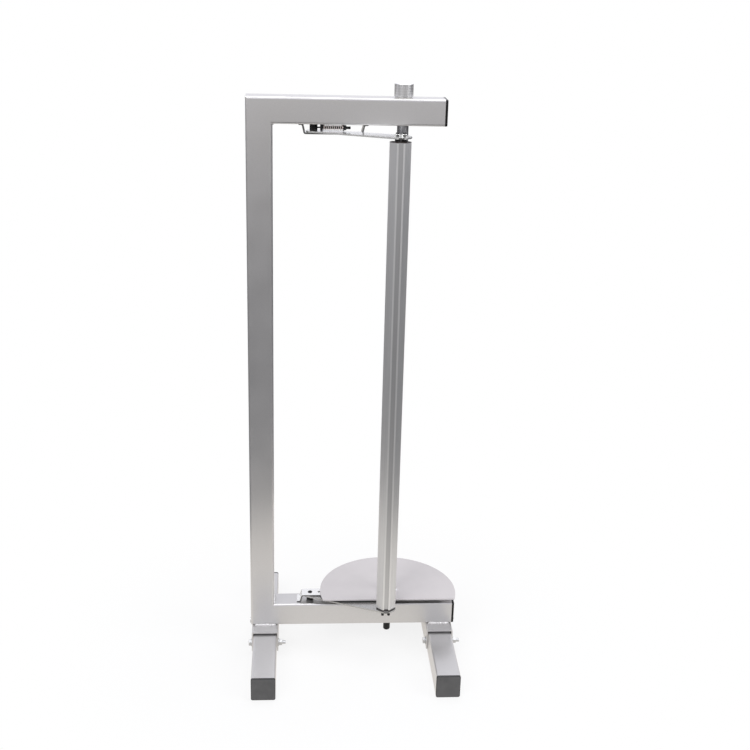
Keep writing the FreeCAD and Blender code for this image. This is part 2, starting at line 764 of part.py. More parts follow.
# Press bar: an aluminium extrusion with two ridges in front and a core longer than its wings.
def press_bar():
    half = dim("bar_half")
    nose = -dim("bar_nose")
    nose_half = dim("bar_nose_half")
    back = dim("bar_back")
    groove = dim("slot_half")
    floor = nose + dim("slot_depth")
    right_side = [
        (groove, nose), (nose_half, nose), (half, ZERO), (half, dim("bar_shoulder")),
        (dim("bar_back_half"), back),
    ]
    slot = [(-groove, floor), (groove, floor)]
    left_side = [(-x, y) for x, y in reversed(right_side)]
    wall = dim("bar_wall")
    core = dim("core_half")
    flank_run = half - nose_half
    flank_fall = dim("bar_nose")
    slant = (flank_run * flank_run + flank_fall * flank_fall).root()
    flank_start = nose + (core - nose_half) * flank_fall / flank_run + wall * slant / flank_run
    right_hollow = [
        (core, flank_start), (half - wall, wall), (half - wall, dim("bar_shoulder") - wall / 2),
        (dim("bar_back_half") - wall / 2, back - wall), (core, back - wall),
    ]
    left_hollow = [(-x, y) for x, y in right_hollow]
    length = BAR_TOP - LOWER_LEVER_TOP
    section = profile(
        "bar_section", "XY_Plane", [right_side + left_side + slot, right_hollow, left_hollow], length,
        x=BAR_X, y=BAR_Y, z=LOWER_LEVER_TOP,
    )
    ports = [
        round_bar(f"bar_port_{i}", dim("stud_hole"), length, x=x, y=BAR_Y, z=LOWER_LEVER_TOP)
        for i, x in enumerate(stud_places())
    ]
    tongue = dim("tongue_half")
    trim = dim("tongue_length")
    trims = [
        box(f"bar_{side}_{end}_trim", half, half * 2, trim * 2, x=BAR_X + x, y=BAR_Y - half, z=z - trim)
        for side, x in (("left", -(tongue + half)), ("right", tongue))
        for end, z in (("low", LOWER_LEVER_TOP), ("high", BAR_TOP))
    ]
    node(cut("press_bar", section, *ports, *trims), "press_bar")


def bar_fixings():
    studs = []
    nuts = []
    spacers = []
    height = dim("stud_nut_height")
    upper_end = UPPER_LEVER_TOP + height + dim("stud_upper_end")
    lower_end = LOWER_LEVER - height - dim("stud_lower_end")
    upper_start = BAR_TOP - dim("stud_depth")
    upper_length = upper_end - upper_start
    lower_length = LOWER_LEVER_TOP + dim("stud_depth") - lower_end
    radius = dim("stud_radius")
    for i, x in enumerate(stud_places()):
        studs.append(round_bar(f"upper_stud_{i}", radius, upper_length, x=x, y=BAR_Y, z=upper_start))
        studs.append(round_bar(f"lower_stud_{i}", radius, lower_length, x=x, y=BAR_Y, z=lower_end))
        for place, z in (("upper", UPPER_LEVER_TOP), ("lower", LOWER_LEVER - height)):
            nuts.append(nut(
                f"{place}_stud_nut_{i}", dim("stud_nut_across"), dim("stud_nut_bore"), height,
                x=x, y=BAR_Y, z=z,
            ))
        spacers.append(ring(
            f"bar_spacer_{i}", dim("spacer_radius"), dim("stud_hole"), dim("spacer_height"),
            x=x, y=BAR_Y, z=BAR_TOP,
        ))
    node(group("bar_studs", studs), "bar_studs")
    node(group("bar_nuts", nuts), "bar_nuts")
    node(group("bar_spacers", spacers), "bar_spacers")


# Spring gear: a wire from the lever's hub pulls a rod through a fixed tab, and a
# compression spring between the tab and the rod's nut draws the press bar in.
ROD_Y = -dim("rod_y")
ROD_Z = UNDER_TOP_ARM - dim("rod_drop")
TAB_END = dim("tab_start") + dim("tab_thick")


def spring_gear():
    height = dim("tab_height")
    width = dim("tab_width")
    tab = box(
        "tab_block", dim("tab_thick"), width, height,
        x=SHIFT + dim("tab_start"), y=ROD_Y - width / 2, z=UNDER_TOP_ARM - height,
    )
    guide = round_bar(
        "tab_guide", dim("tab_hole"), dim("tab_thick"),
        x=SHIFT + dim("tab_start"), y=ROD_Y, z=ROD_Z, turn=ALONG_X,
    )
    node(cut("spring_tab", tab, guide), "spring_tab")
    start = dim("rod_start")

    def along(name, maker, *sizes, x):
        return maker(name, *sizes, x=SHIFT + x, y=ROD_Y, z=ROD_Z, turn=ALONG_X)

    wire_length = start - dim("pivot_x")
    node(along("pull_wire", round_bar, dim("wire_radius"), wire_length, x=dim("pivot_x")), "pull_wire")
    node(along("spring_rod", round_bar, dim("rod_radius"), dim("rod_finish") - start, x=start), "spring_rod")
    thick = dim("rod_washer_thick")
    seat = dim("spring_finish")
    washer = along(
        "spring_washer", ring, dim("rod_washer_radius"), dim("rod_washer_bore"), thick, x=seat
    )
    node(washer, "spring_washer")
    end_nut = along(
        "spring_nut", nut, dim("rod_nut_across"), dim("rod_nut_bore"), dim("rod_nut_height"), x=seat + thick
    )
    node(end_nut, "spring_nut")


def arc_edge(start, corner, finish):
    """The arc that leaves start towards corner and reaches finish from corner."""
    middle = (start + finish) * 0.5
    to_corner = corner - middle
    half_chord = (finish - start).Length / 2
    rise = half_chord * math.tan(math.atan2(to_corner.Length, half_chord) / 2)
    top = middle + to_corner * (rise / to_corner.Length)
    return Part.Arc(start, top, finish).toShape()


def biarc(start, out, finish, away):
    """Two arcs that join two points with given unit directions."""
    span = finish - start
    both = out + away
    bend = 2 * (1 - out.dot(away))
    lead = span.dot(both)
    reach = (-lead + math.sqrt(lead * lead + bend * span.dot(span))) / bend
    first = start + out * reach
    second = finish - away * reach
    joint = (first + second) * 0.5
    return [arc_edge(start, first, joint), arc_edge(joint, second, finish)]


def tension_spring():
    """One unbroken wire: a straight end, a bend, the turns, a bend and a straight end."""
    mean = sheet.get("spring_mean")
    wire = sheet.get("spring_wire")
    bend = sheet.get("spring_bend")
    turns = int(sheet.get("spring_turns"))
    gap = sheet.get("spring_gap")
    length = sheet.get("spring_finish") - TAB_END.value - gap
    lead = wire + bend + gap
    quarters = 4 * turns
    climb = (length - 2 * lead) / quarters

    def turn_point(quarter):
        angle = quarter * math.pi / 2
        return FreeCAD.Vector(lead + climb * quarter, mean * math.cos(angle), mean * math.sin(angle))

    def turn_direction(quarter):
        """Along the helix, and square to the axis where the turns start and finish."""
        angle = quarter * math.pi / 2
        rise = climb * 2 / math.pi if 0 < quarter < quarters else 0
        return FreeCAD.Vector(rise, -mean * math.sin(angle), mean * math.cos(angle)).normalize()

    def end_bend(point, away):
        """Quarter bend from a turn's end to a straight along X; away is 1 or -1."""
        tangent = turn_direction(0 if away < 0 else quarters)
        outward = FreeCAD.Vector(away, 0, 0)
        run = tangent * away
        corner = point + run * bend
        landing = corner + outward * bend
        return corner, landing, landing + outward * wire

    first = turn_point(0)
    last = turn_point(quarters)
    corner, landing, tail = end_bend(first, -1)
    edges = [Part.LineSegment(tail, landing).toShape(), arc_edge(landing, corner, first)]
    for quarter in range(quarters):
        edges += biarc(
            turn_point(quarter), turn_direction(quarter), turn_point(quarter + 1), turn_direction(quarter + 1)
        )
    far_corner, far_landing, far_tail = end_bend(last, 1)
    edges += [arc_edge(last, far_corner, far_landing), Part.LineSegment(far_landing, far_tail).toShape()]
    path = Part.Wire(edges)
    ring_edge = Part.Circle(tail, X_AXIS, wire / 2).toShape()
    coil = path.makePipeShell([Part.Wire([ring_edge])], True, False)
    report_gap(path, wire)
    piece = doc.addObject("Part::Feature", "tension_spring")
    piece.Shape = coil
    put(piece, SHIFT + TAB_END, ROD_Y, ROD_Z)
    node(piece, "tension_spring")
    expected = path.Length * math.pi * wire**2 / 4
    print(f"spring volume {coil.Volume:.1f} mm3, section times length {expected:.1f} mm3")


def report_gap(path, wire):
    """Print the least gap between parts of the wire that lie apart along it."""
    samples_per_wire = 3
    points = path.discretize(Distance=wire / samples_per_wire)
    apart = 4 * samples_per_wire
    two_turns = int(4 * math.pi * sheet.get("spring_mean") / wire) * samples_per_wire
    least = min(
        (points[i] - points[j]).Length
        for i in range(len(points))
        for j in range(i + apart, min(i + two_turns, len(points)))
    )
    print(f"least gap between spring turns {least - wire:.2f} mm")


frame_tubes()
end_caps()
foot("left")
foot("right")
foot_fasteners()
roll_plate()
spindle()
hinges()
lever("upper_lever", UPPER_LEVER)
lever("lower_lever", LOWER_LEVER)
press_bar()
bar_fixings()
spring_gear()
tension_spring()
doc.recompute()

for item in doc.Objects:
    if "Invalid" in item.State or "Error" in item.State:
        raise RuntimeError(f"{item.Name} failed: {item.State}")
for piece in nodes:
    if piece.Shape.isNull() or not piece.Shape.isValid():
        raise RuntimeError(f"{piece.Label} has no valid shape")

os.makedirs("parts", exist_ok=True)
for piece in nodes:
    piece.Shape.exportStep(f"parts/{piece.Label}.step")
    print(f"{piece.Label}: {len(piece.Shape.Solids)} solid(s), {piece.Shape.Volume:.0f} mm3")
print(f"{len(nodes)} nodes")
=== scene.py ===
# %% [markdown]
# # A stand for a roll of packing film
# The stand is a welded C-frame of square tube on two clamped feet. A roll of film stands on the
# D-shaped plate round a lift-out spindle, and a sprung bar on two levers leans on the film.
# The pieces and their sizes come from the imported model, which is loaded first and never moved.
# This lesson adds what a drawing lacks: weld beads, a wound spring, a laid wire, the finish of
# every surface, soft studio light and a camera.

import bpy
import numpy as np
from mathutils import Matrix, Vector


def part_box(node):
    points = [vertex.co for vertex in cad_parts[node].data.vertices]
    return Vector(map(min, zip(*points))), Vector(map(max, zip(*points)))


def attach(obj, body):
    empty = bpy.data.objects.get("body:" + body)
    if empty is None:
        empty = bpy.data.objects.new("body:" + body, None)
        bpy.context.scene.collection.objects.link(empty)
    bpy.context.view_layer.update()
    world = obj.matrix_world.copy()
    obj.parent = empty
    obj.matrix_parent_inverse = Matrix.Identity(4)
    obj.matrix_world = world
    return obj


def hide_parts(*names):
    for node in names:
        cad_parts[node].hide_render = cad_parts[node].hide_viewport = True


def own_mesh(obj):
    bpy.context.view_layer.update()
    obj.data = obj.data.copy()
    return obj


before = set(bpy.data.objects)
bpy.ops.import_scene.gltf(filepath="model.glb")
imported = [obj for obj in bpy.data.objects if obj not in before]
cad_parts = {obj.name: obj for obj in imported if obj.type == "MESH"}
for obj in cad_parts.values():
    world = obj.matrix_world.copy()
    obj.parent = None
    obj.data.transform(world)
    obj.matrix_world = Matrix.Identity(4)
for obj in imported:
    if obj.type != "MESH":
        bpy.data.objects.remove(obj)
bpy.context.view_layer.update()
MM = 0.001
into_scene = bpy.context.scene.collection.objects.link

# %% [markdown]
# ## The camera
# The picture was taken from a little above the stand's top, from the front and slightly to the
# left, with a short telephoto lens. The viewing angles below were found by lining up the frame's
# corners. Three unit vectors, to the right, upwards and back towards the eye, make the camera's
# rotation matrix, which is easier to reason about than three turns in a row.

# %% Place the camera
LENS_MM = 56.31
EYE = np.array([-130.0, -2257.0, 1433.9]) * MM
LOOK_DOWN, LOOK_RIGHT, TILT = np.radians([19.637, 4.123, -1.536])


def camera_axes(down, right, tilt):
    """Right, up and back of a camera that faces +Y, turned right, tipped down, then tilted."""
    level = np.cos(down)
    ahead = np.array([np.sin(right) * level, np.cos(right) * level, -np.sin(down)])
    side = np.array([np.cos(right), -np.sin(right), 0.0])
    down_side = np.cross(ahead, side)
    tilted_side = np.cos(tilt) * side + np.sin(tilt) * down_side
    tilted_down = np.cos(tilt) * down_side - np.sin(tilt) * side
    return tilted_side, -tilted_down, -ahead


def matrix_of(axes, place):
    """The matrix of an object whose X, Y and Z lie along three axes, listed by columns."""
    matrix = np.eye(4)
    matrix[:3, :3] = np.array(axes).T
    matrix[:3, 3] = place
    return matrix.T


camera = bpy.data.objects.new("studio_camera", bpy.data.cameras.new("studio_camera"))
camera.data.lens = LENS_MM
axes = np.array(camera_axes(LOOK_DOWN, LOOK_RIGHT, TILT))
camera.matrix_world = matrix_of(axes, EYE)
into_scene(camera)
bpy.context.scene.camera = camera
print("camera axes are square:", np.allclose(axes @ axes.T, np.eye(3)))

# %% [markdown]
# ## Surfaces from arrays
# Every new piece is a grid of points: one parameter runs along the piece and the other round it.
# numpy works out all points at once, and one function turns a grid into a closed mesh. A tube's
# ends are closed with one fan of triangles each, so no piece is left open.

# %% One function from a grid to a mesh
def mesh_object(name, points, faces):
    """An object at the origin with these points and faces, in the scene."""
    mesh = bpy.data.meshes.new(name)
    mesh.from_pydata(points.tolist(), [], faces)
    made = bpy.data.objects.new(name, mesh)
    into_scene(made)
    print(f"{name}: {len(mesh.vertices)} points, {len(mesh.polygons)} faces")
    return made


def skin(name, grid):
    """A closed tube from grid[along, round]: quads between neighbours, and a fan on each end."""
    rows, sides = grid.shape[:2]
    index = np.arange(rows * sides).reshape(rows, sides)
    onward = np.roll(index, -1, axis=1)
    quads = np.stack([index[:-1], onward[:-1], onward[1:], index[1:]], axis=-1).reshape(-1, 4)
    tips = np.array([grid[0].mean(axis=0), grid[-1].mean(axis=0)])
    first, last = rows * sides, rows * sides + 1
    start_fan = np.stack([onward[0], index[0], np.full(sides, first)], axis=-1)
    end_fan = np.stack([index[-1], onward[-1], np.full(sides, last)], axis=-1)
    points = np.concatenate([grid.reshape(-1, 3), tips])
    piece = mesh_object(name, points, quads.tolist() + start_fan.tolist() + end_fan.tolist())
    piece.data.shade_smooth()
    return piece


# %% Carry a circle along a path
def unit(vectors):
    """Vectors scaled to length one along their last axis."""
    return vectors / np.linalg.norm(vectors, axis=-1, keepdims=True)


def tube(path, sideways, radius, sides):
    """A circle of the given radius carried along a path. sideways is a vector per point that is
    not along the path; it is made square to the path and starts the circle."""
    along = unit(np.gradient(path, axis=0))
    across = unit(sideways - along * np.sum(along * sideways, axis=1, keepdims=True))
    above = np.cross(along, across)
    turn = np.linspace(0, 2 * np.pi, sides, endpoint=False)[:, None]
    ring = across[:, None] * np.cos(turn) + above[:, None] * np.sin(turn)
    return path[:, None] + ring * np.reshape(radius, (-1, 1, 1))


upright, to_the_right = np.outer(np.arange(3.0), [0, 0, 1]), np.tile([1.0, 0, 0], (3, 1))
print("3 rings of 6 points are a grid of", tube(upright, to_the_right, 0.5, sides=6).shape)

# %% [markdown]
# ## The spring
# Under the upper arm a compression spring pushes the rod's nut away from a fixed tab, and so
# draws the press bar in. A real one is wound from round wire with closed ends: the last turn at
# each end lies against its neighbour. So the pitch is not constant here. It is the wire's
# thickness at the ends and wide in between, and adding it up turn by turn gives the place along
# the axis. Blender's Screw modifier also winds a coil, but only with one even pitch.

# %% Wind the spring
WIRE = 1.1 * MM
CLOSED_PITCH = 1.02 * WIRE
SPRING_MEAN_RADIUS = 5.4 * MM
TURNS, CLOSED_TURNS, EASING_TURNS = 11.5, 0.6, 1.0
STEPS_PER_TURN = 40
SEAT_GAP = 0.1 * MM


def spring_path(start, finish, axis_y, axis_z):
    """A helix along X. The pitch eases from closed to open and back, scaled to fill the length."""
    turn = np.linspace(0, TURNS, int(TURNS * STEPS_PER_TURN) + 1)
    from_end = np.minimum(turn, TURNS - turn)
    ease = np.clip((from_end - CLOSED_TURNS) / EASING_TURNS, 0, 1)
    openness = ease * ease * (3 - 2 * ease)
    step = TURNS / (len(turn) - 1)
    open_sum = np.sum((openness[1:] + openness[:-1]) / 2) * step
    open_pitch = (finish - start - WIRE - CLOSED_PITCH * TURNS) / open_sum
    pitch = CLOSED_PITCH + open_pitch * openness
    travel = np.concatenate([[0], np.cumsum((pitch[1:] + pitch[:-1]) / 2) * step])
    angle = 2 * np.pi * turn
    outward = np.stack([np.zeros_like(turn), np.cos(angle), np.sin(angle)], axis=1)
    along = start + WIRE / 2 + travel
    centre = np.stack([along, np.full_like(turn, axis_y), np.full_like(turn, axis_z)], axis=1)
    return centre + outward * SPRING_MEAN_RADIUS, outward


rod_low, rod_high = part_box("spring_rod")
rod_y, rod_z = (rod_low.y + rod_high.y) / 2, (rod_low.z + rod_high.z) / 2
tab_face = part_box("spring_tab")[1].x
washer_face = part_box("spring_washer")[0].x
coil_path, coil_outward = spring_path(tab_face + SEAT_GAP, washer_face - SEAT_GAP, rod_y, rod_z)
spring = skin("wound_spring", tube(coil_path, coil_outward, WIRE / 2, sides=12))
spring_length = washer_face - tab_face

# %% [markdown]
# ## The pull wire
# A short length of wire rope joins the lever's hub to the rod. Rope has strands that run round
# it in a spiral, so the section is a circle with one lobe per strand, turned steadily along the
# rope. At this size a surface with lobes looks the same as separate strands and is much lighter.

# %% Lay the wire
STRANDS, POINTS_PER_STRAND = 6, 8
LAY_LENGTH = 14 * MM
ROPE_RADIUS, ROPE_ROWS = 1.5 * MM, 49
LOBE_DEPTH = 0.16


def laid_wire(start, finish, axis_y, axis_z):
    """A straight rope along X whose radius swells once per strand as it goes round, with the
    lobes turning one full turn per lay length."""
    along = np.linspace(start, finish, ROPE_ROWS)[:, None]
    turn = np.linspace(0, 2 * np.pi, STRANDS * POINTS_PER_STRAND, endpoint=False)[None, :]
    lobe = np.cos(STRANDS * (turn - 2 * np.pi * (along - start) / LAY_LENGTH))
    radius = ROPE_RADIUS * (1 - LOBE_DEPTH + LOBE_DEPTH * lobe)
    across, up = axis_y + radius * np.cos(turn), axis_z + radius * np.sin(turn)
    return np.stack([along + 0 * turn, across, up], axis=-1)


wire_low, wire_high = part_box("pull_wire")
wire = skin("laid_pull_wire", laid_wire(wire_low.x, wire_high.x, rod_y, rod_z))
wire_length = wire_high.x - wire_low.x

# %% [markdown]
# The spring and the wire sit between the fixed frame and the sliding rod, so both get shorter as
# the rod moves. Here both are hung on the frame with a mesh of their own, and the drawn pieces
# that they replace are hidden.

# %% Hang the spring and the wire on the frame
for piece, node, fixed_end, length, finish_slot in (
    (spring, "tension_spring", tab_face, spring_length, "spring_steel"),
    (wire, "pull_wire", wire_low.x, wire_length, "dark_steel"),
):
    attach(piece, "frame")
    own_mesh(piece)
    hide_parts(node)

# %% [markdown]
# ## The weld beads
# The frame stands on its sleeves in four fillet welds, and a short bead fills each inner corner
# of the frame. A hand-laid bead is a row of overlapping ripples, between two and three
# millimetres apart, that wanders a little and tapers at both ends. So a round bar's radius
# changes along its length: a ripple and a slow wander are added, and a taper multiplies them.
# Sculpting would do as well, but a formula fits itself to the sleeves wherever they are.

# %% Shape one bead
RIPPLE_PITCH, RIPPLE_DEPTH, ROWS_PER_RIPPLE = 2.6 * MM, 0.14, 8
BEAD_RADIUS = 3.4 * MM
WANDER_WAVES, WANDER_DEPTH, WANDER_REACH = np.array([1.3, 2.4, 4.1]), 0.22, 0.5 * MM
TAPER_POWER, TAPER_LEAST = 8, 0.04
rng = np.random.default_rng(7)


def bead(start, finish, toward, sides=20):
    """A round bar from start to finish with a rippled, wandering, tapered radius. toward is the
    direction in which the bead wanders, out of the corner that it fills."""
    start, finish, toward = np.array(start), np.array(finish), unit(np.array(toward, float))
    length = np.linalg.norm(finish - start)
    rows = int(length / RIPPLE_PITCH * ROWS_PER_RIPPLE) + 1
    share = np.linspace(0, 1, rows)
    ripple = np.abs(np.sin(np.pi * share * length / RIPPLE_PITCH))
    phases = rng.uniform(0, 2 * np.pi, len(WANDER_WAVES))
    wander = np.sin(2 * np.pi * WANDER_WAVES * share[:, None] + phases).mean(axis=1)
    taper = np.sqrt(np.clip(1 - (2 * share - 1) ** TAPER_POWER, TAPER_LEAST, 1))
    swell = 1 - RIPPLE_DEPTH + RIPPLE_DEPTH * ripple + WANDER_DEPTH * wander
    path = start + (finish - start) * share[:, None] + toward * (WANDER_REACH * wander)[:, None]
    return tube(path, np.tile(toward, (rows, 1)), BEAD_RADIUS * taper * swell, sides)


print(f"a bead {2 * BEAD_RADIUS / MM:.1f} mm thick with a ripple every {RIPPLE_PITCH / MM:.1f} mm")

# %% Lay the beads
arm_low, arm_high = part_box("lower_arm_tube")
inner_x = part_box("post_tube")[1].x
upper_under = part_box("upper_arm_tube")[0].z
END_MARGIN = 5 * MM
SIDES = {"front": (arm_low.y, -1), "rear": (arm_high.y, 1)}
beads = []
for foot in ("left", "right"):
    sleeve_low, sleeve_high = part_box(f"{foot}_foot_sleeve")
    from_x = max(sleeve_low.x, arm_low.x) + END_MARGIN
    to_x = min(sleeve_high.x, arm_high.x) - END_MARGIN
    for side, (y, outward) in SIDES.items():
        grid = bead((from_x, y, sleeve_high.z), (to_x, y, sleeve_high.z), (0, outward, 1))
        beads.append(skin(f"{foot}_{side}_sleeve_weld", grid))
for place, z, outward in (("upper", upper_under, -1), ("lower", arm_high.z, 1)):
    from_y, to_y = arm_low.y + END_MARGIN, arm_high.y - END_MARGIN
    grid = bead((inner_x, from_y, z), (inner_x, to_y, z), (1, 0, outward))
    beads.append(skin(f"{place}_corner_weld", grid))
for piece in beads:
    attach(piece, "frame")
print(len(beads), "weld beads")

# %% [markdown]
# ## Finishes
# A material here is a small tree of nodes. One function adds a node, sets its options and links
# its inputs, and gives back the node's output, so that one node can be handed to the next.
# Colours are written as the hex values that a paint chart would give, and turned to the linear
# values that light is worked out in.

# %% Add one node
SHARE, FIRST, SECOND = 0, 6, 7  # the Mix node's sockets when it mixes colours
FINISHES = {}


def linear(hex_colour):
    """An sRGB hex colour as linear red, green, blue and alpha."""
    srgb = np.array([int(hex_colour[i:i + 2], 16) for i in (1, 3, 5)]) / 255
    light = np.where(srgb <= 0.04045, srgb / 12.92, ((srgb + 0.055) / 1.055) ** 2.4)
    return (*light.tolist(), 1.0)


def add(tree, kind, inputs=None, **settings):
    """Add one shader node and give its first output in use. settings are the node's own options.
    inputs maps a socket to a value, or to another node's output, which is linked."""
    made = tree.nodes.new("ShaderNode" + kind)
    for name, value in settings.items():
        setattr(made, name, value)
    for name, value in (inputs or {}).items():
        if isinstance(value, bpy.types.NodeSocket):
            tree.links.new(value, made.inputs[name])
        else:
            made.inputs[name].default_value = value
    return next((output for output in made.outputs if output.enabled), None)


print("mid grey #808080 is", round(linear("#808080")[0], 3), "in linear light")

# %% [markdown]
# Every finish below starts in the same way, from one Principled shader whose fixed numbers are
# set straight on its sockets, and ends in the same way, with a colour, a roughness and a relief.
# In between there are noises, which are stretched to the range that is wanted, and masks, which
# pick out a part of the piece. Both are Map Range nodes with different numbers.

# %% Start and end a finish
NOISE_LOW, NOISE_HIGH = 0.3, 0.7  # most of a noise lies between these
RELIEF = 0.05 * MM  # how deep the texture of a coat, a plating or a cut is


def empty_material(name):
    """A material with no nodes yet, and its tree."""
    material = bpy.data.materials.new(name)
    material.use_nodes = True
    material.node_tree.nodes.clear()
    return material, material.node_tree


def start_finish(name, **fixed):
    """A new material, its tree, its Principled shader and the Object coordinates of the piece."""
    material, tree = empty_material(name)
    surface = add(tree, "BsdfPrincipled", fixed)
    add(tree, "OutputMaterial", {"Surface": surface})
    return material, tree, surface.node, add(tree, "TexCoord").node.outputs["Object"]


def end_finish(shader, colour, roughness, relief, strength, depth):
    """Link a colour and a roughness to the shader, and a relief of some depth as a bump."""
    tree = shader.id_data
    bump = add(tree, "Bump", {"Height": relief, "Strength": strength, "Distance": depth})
    for socket, source in {"Base Color": colour, "Roughness": roughness, "Normal": bump}.items():
        tree.links.new(source, shader.inputs[socket])


def per_mm(size):
    """Texture scale, in features per metre, for a feature of this many millimetres."""
    return 1 / (size * MM)


def stretched(noise, low, high):
    """The numbers that stretch a noise to low and high."""
    source = {"Value": noise, "From Min": NOISE_LOW, "From Max": NOISE_HIGH}
    return source | {"To Min": low, "To Max": high}


def below(value, edge, soft):
    """The numbers of a mask: 1 where value is below edge, and 0 above it, after a soft step."""
    step = {"Value": value, "From Min": edge, "From Max": edge + soft}
    return step | {"To Min": 1.0, "To Max": 0.0}


def shades(share, dark, light):
    """The numbers that mix two colours, which are hex values or other nodes' outputs."""
    first, second = (linear(shade) if isinstance(shade, str) else shade for shade in (dark, light))
    return {SHARE: share, FIRST: first, SECOND: second}


print("a 2 mm grain has a scale of", round(per_mm(2)), "to the metre")

# %% [markdown]
# ### Silver powder coat
# The frame and feet are sprayed with powder that holds fine aluminium flake, then baked. The eye
# sees a satin silver with a soft reflection, a faint sparkle and a slight orange peel where the
# powder flowed together. The flake makes it look metallic, so the shader is mostly metal with a
# middling roughness. Real flake is under 0.1 mm, too fine to show, so it is drawn at about 1 mm.

# %% Mix the silver powder coat
def silver_powder_coat():
    """Flake sets the shade, slow clouds the gloss, and orange peel the relief."""
    material, tree, shader, place = start_finish("silver powder coat", Metallic=0.8)
    flake = add(tree, "TexNoise", {"Vector": place, "Scale": per_mm(1.1), "Detail": 2.0})
    cloud = add(tree, "TexNoise", {"Vector": place, "Scale": per_mm(70), "Detail": 3.0})
    peel = add(tree, "TexNoise", {"Vector": place, "Scale": per_mm(2.5), "Detail": 1.0})
    sparkle = add(tree, "MapRange", stretched(flake, 0.25, 0.75))
    silver = add(tree, "Mix", shades(sparkle, "#C7C6C6", "#D5D4D3"), data_type="RGBA")
    rough = add(tree, "MapRange", stretched(cloud, 0.28, 0.34))
    end_finish(shader, silver, rough, peel, strength=0.12, depth=RELIEF)
    return material


FINISHES["silver_paint"] = silver_powder_coat()
print("mixed", FINISHES["silver_paint"].name)

# %% [markdown]
# ### Light grey powder coat
# The roll plate is paler and flatter than the frame, because it has no flake in its coat. It
# scatters light like any paint, with a soft sheen, and a fine texture that hides marks from the
# rolls. Below, the strip over the arm and the part over the lever are painted near black, a
# painted shade, so that the gap under the plate stays dark. The shade could be a second
# material on faces cut out for it. A mask from the place of each point leaves the plate uncut.

# %% Find the painted shade under the plate
UNDERSIDE_STEP = 0.2 * MM
MASKED_HALF, MASKED_END, LEVER_REACH = 27 * MM, 192 * MM, 110 * MM
SHADE_EDGE = 1 * MM


def painted_shade_under_plate(tree, place, lowest):
    """Painted shade: 1 on the underside, at height lowest, over the arm or over the lever."""
    spot = add(tree, "SeparateXYZ", {"Vector": place}).node.outputs
    underside = add(tree, "MapRange", below(spot["Z"], lowest + UNDERSIDE_STEP, UNDERSIDE_STEP))
    from_middle = add(tree, "Math", {0: spot["Y"]}, operation="ABSOLUTE")
    over_arm = add(tree, "MapRange", below(from_middle, MASKED_HALF, SHADE_EDGE))
    before_end = add(tree, "MapRange", below(spot["X"], MASKED_END, SHADE_EDGE))
    strip = add(tree, "Math", {0: over_arm, 1: before_end}, operation="MULTIPLY")
    over_lever = add(tree, "MapRange", below(spot["X"], LEVER_REACH, SHADE_EDGE))
    either = add(tree, "Math", {0: strip, 1: over_lever}, operation="MAXIMUM")
    return add(tree, "Math", {0: underside, 1: either}, operation="MULTIPLY")


plate_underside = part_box("roll_plate")[0].z
print(f"the plate's underside is {plate_underside / MM:.1f} mm above the floor")

# %% Mix the plate's paint
def plate_powder_coat():
    """Slow clouds set the shade and a fine grain the rest. A mask paints shade below."""
    material, tree, shader, place = start_finish("light grey powder coat", IOR=1.5)
    grain = add(tree, "TexNoise", {"Vector": place, "Scale": per_mm(1.4), "Detail": 2.0})
    cloud = add(tree, "TexNoise", {"Vector": place, "Scale": per_mm(55), "Detail": 3.0})
    shade = add(tree, "MapRange", stretched(cloud, 0.2, 0.8))
    coat = add(tree, "Mix", shades(shade, "#C8C4C5", "#D0CCCD"), data_type="RGBA")
    under_plate_shade = painted_shade_under_plate(tree, place, plate_underside)
    # Near black under the plate is painted shade for the gap below it.
    paint = add(tree, "Mix", shades(under_plate_shade, coat, "#2A2928"), data_type="RGBA")
    rough = add(tree, "MapRange", stretched(grain, 0.42, 0.54))
    end_finish(shader, paint, rough, grain, strength=0.15, depth=RELIEF)
    return material


FINISHES["plate_paint"] = plate_powder_coat()
print("mixed", FINISHES["plate_paint"].name)

# %% [markdown]
# ### Anodised aluminium
# The press bar is an extrusion. Pushing hot metal through a die leaves fine lines along its
# length, and the matt anodising blurs its reflection without hiding them. So one noise is
# stretched along the bar: a millimetre wide, but hundreds of millimetres long. The two ridges
# are painted brighter, a painted highlight, and the groove between them darker, a painted shade.
# A mask finds both by their distance from the middle and from the front. Both ends are painted
# dark, a painted shade where the bar meets the levers. A picture of brushed metal would do as
# well, but it has to be unwrapped onto the bar, and a noise fits by itself.

# %% Find the ridges, the groove and the shaded ends
RIDGE_OFFSET, RIDGE_HALF, RIDGE_EDGE = 5.9 * MM, 1.7 * MM, 0.4 * MM
FRONT_SKIN = 0.6 * MM
END_SHADE_LENGTH, END_SHADE_EDGE = 3.2 * MM, 0.8 * MM


